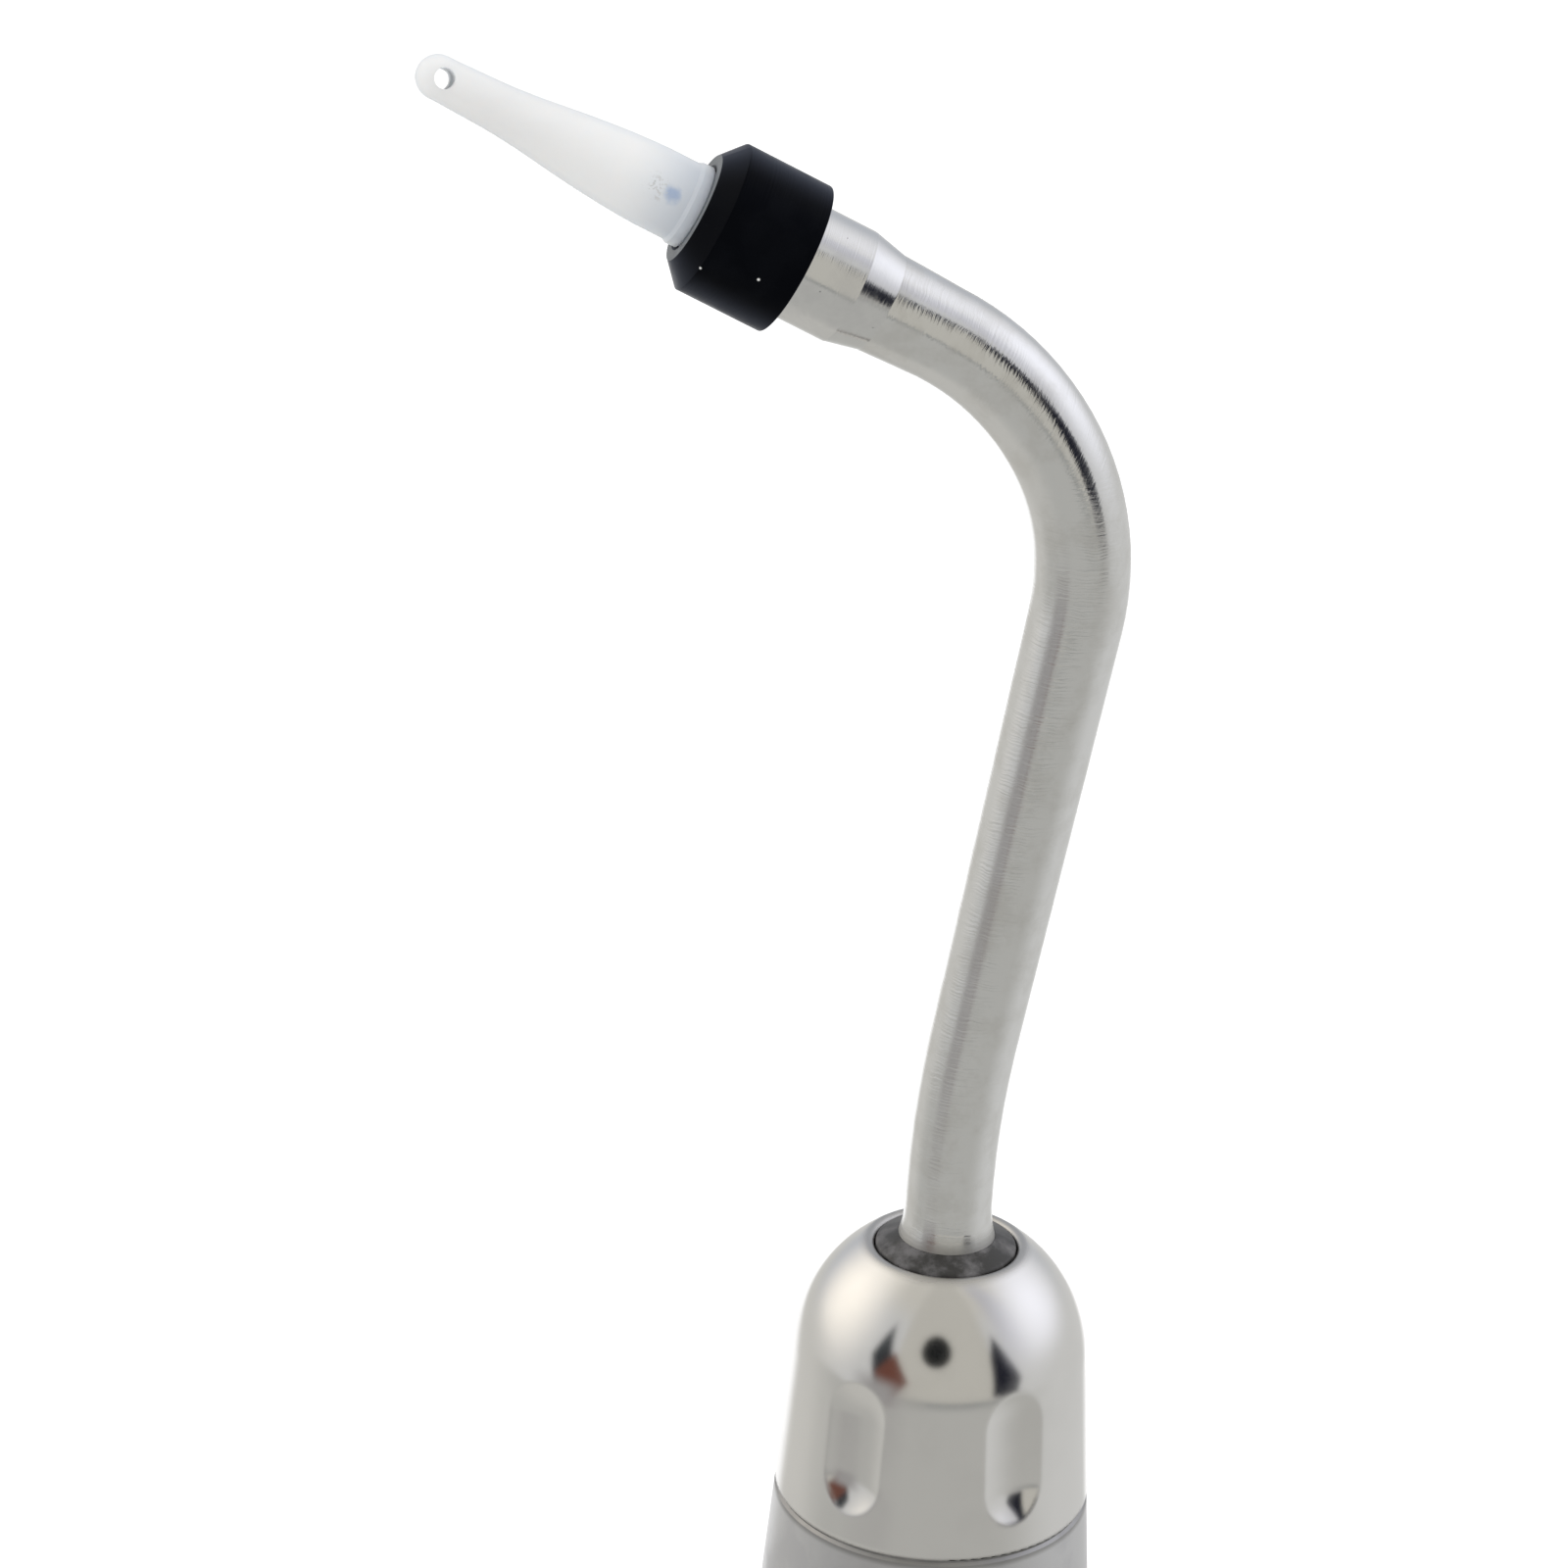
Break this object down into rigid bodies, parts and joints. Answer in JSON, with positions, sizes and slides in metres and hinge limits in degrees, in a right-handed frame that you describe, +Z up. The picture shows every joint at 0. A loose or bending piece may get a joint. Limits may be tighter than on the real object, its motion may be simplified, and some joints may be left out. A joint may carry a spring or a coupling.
{
  "type": "saliva ejector tip",
  "caption": "Bent steel suction cannula with a clamped translucent nozzle, turning in a short fluted-cap holder with a hose spigot.",
  "frame": {"origin": "centre of the shoulder on the tail that a suction hose butts against", "axes": "+Z up the holder axis towards the nose cap, away from the hose; the cannula bends in the XZ plane and its nozzle points towards -X and up"},
  "size_m": [0.0387, 0.0182, 0.1183],
  "materials": {
    "translucent_plastic": "milky translucent, satin",
    "black_acetal": "turned, semi-matt",
    "white_silicone": "soft",
    "polished_steel": "fine polish",
    "chrome_plate": "mirror",
    "satin_steel": "satin blasted",
    "turned_steel": "fine turned",
    "black_rubber": "matt",
    "ptfe": "waxy white"
  },
  "bodies": {
    "holder": {"barrel": "satin_steel", "bearing_bush": "ptfe", "chuck_body": "turned_steel", "cap_drag_ring": "black_rubber", "joint_ring": "black_rubber", "core_tube": "turned_steel", "core_o_ring_front": "black_rubber", "core_o_ring_rear": "black_rubber", "tail_ring": "black_rubber", "hose_spigot": "turned_steel"},
    "cannula": {"cannula_tube": "polished_steel", "foot_ferrule": "polished_steel", "foot_o_ring_upper": "black_rubber", "foot_o_ring_lower": "black_rubber", "dust_seal": "black_rubber", "tip_socket": "polished_steel", "tip_nipple": "polished_steel", "nozzle_gasket": "white_silicone"},
    "nozzle": {"nozzle": "translucent_plastic"},
    "nut": {"clamp_nut": "black_acetal"},
    "washer": {"thrust_washer": "ptfe"},
    "cap": {"nose_cap": "chrome_plate"}
  },
  "joints": [
    {"name": "cannula_swivel", "type": "hinge", "parent": "holder", "child": "cannula", "pos_m": [0, 0, 0.04068], "axis": [0, 0, 1], "continuous": true},
    {"name": "nozzle_backoff", "type": "slide", "parent": "cannula", "child": "nozzle", "axis": [-0.8965, 0, 0.4431], "range_m": [0, 0.0045]},
    {"name": "nut_turn", "type": "hinge", "parent": "nozzle", "child": "nut", "pos_m": [-0.01578, 0, 0.09788], "axis": [-0.8965, 0, 0.4431], "range_deg": [0, 2160]},
    {"name": "cap_lift", "type": "slide", "parent": "holder", "child": "washer", "axis": [0, 0, 1], "range_m": [0, 0.006]},
    {"name": "cap_turn", "type": "hinge", "parent": "washer", "child": "cap", "pos_m": [0, 0, 0.0256], "axis": [0, 0, 1], "range_deg": [0, 2160]}
  ],
  "couplings": [
    {"joint": "nut_turn", "follows": "nozzle_backoff", "rad_per_m": 8377.6},
    {"joint": "cap_turn", "follows": "cap_lift", "rad_per_m": 6283.2}
  ]
}
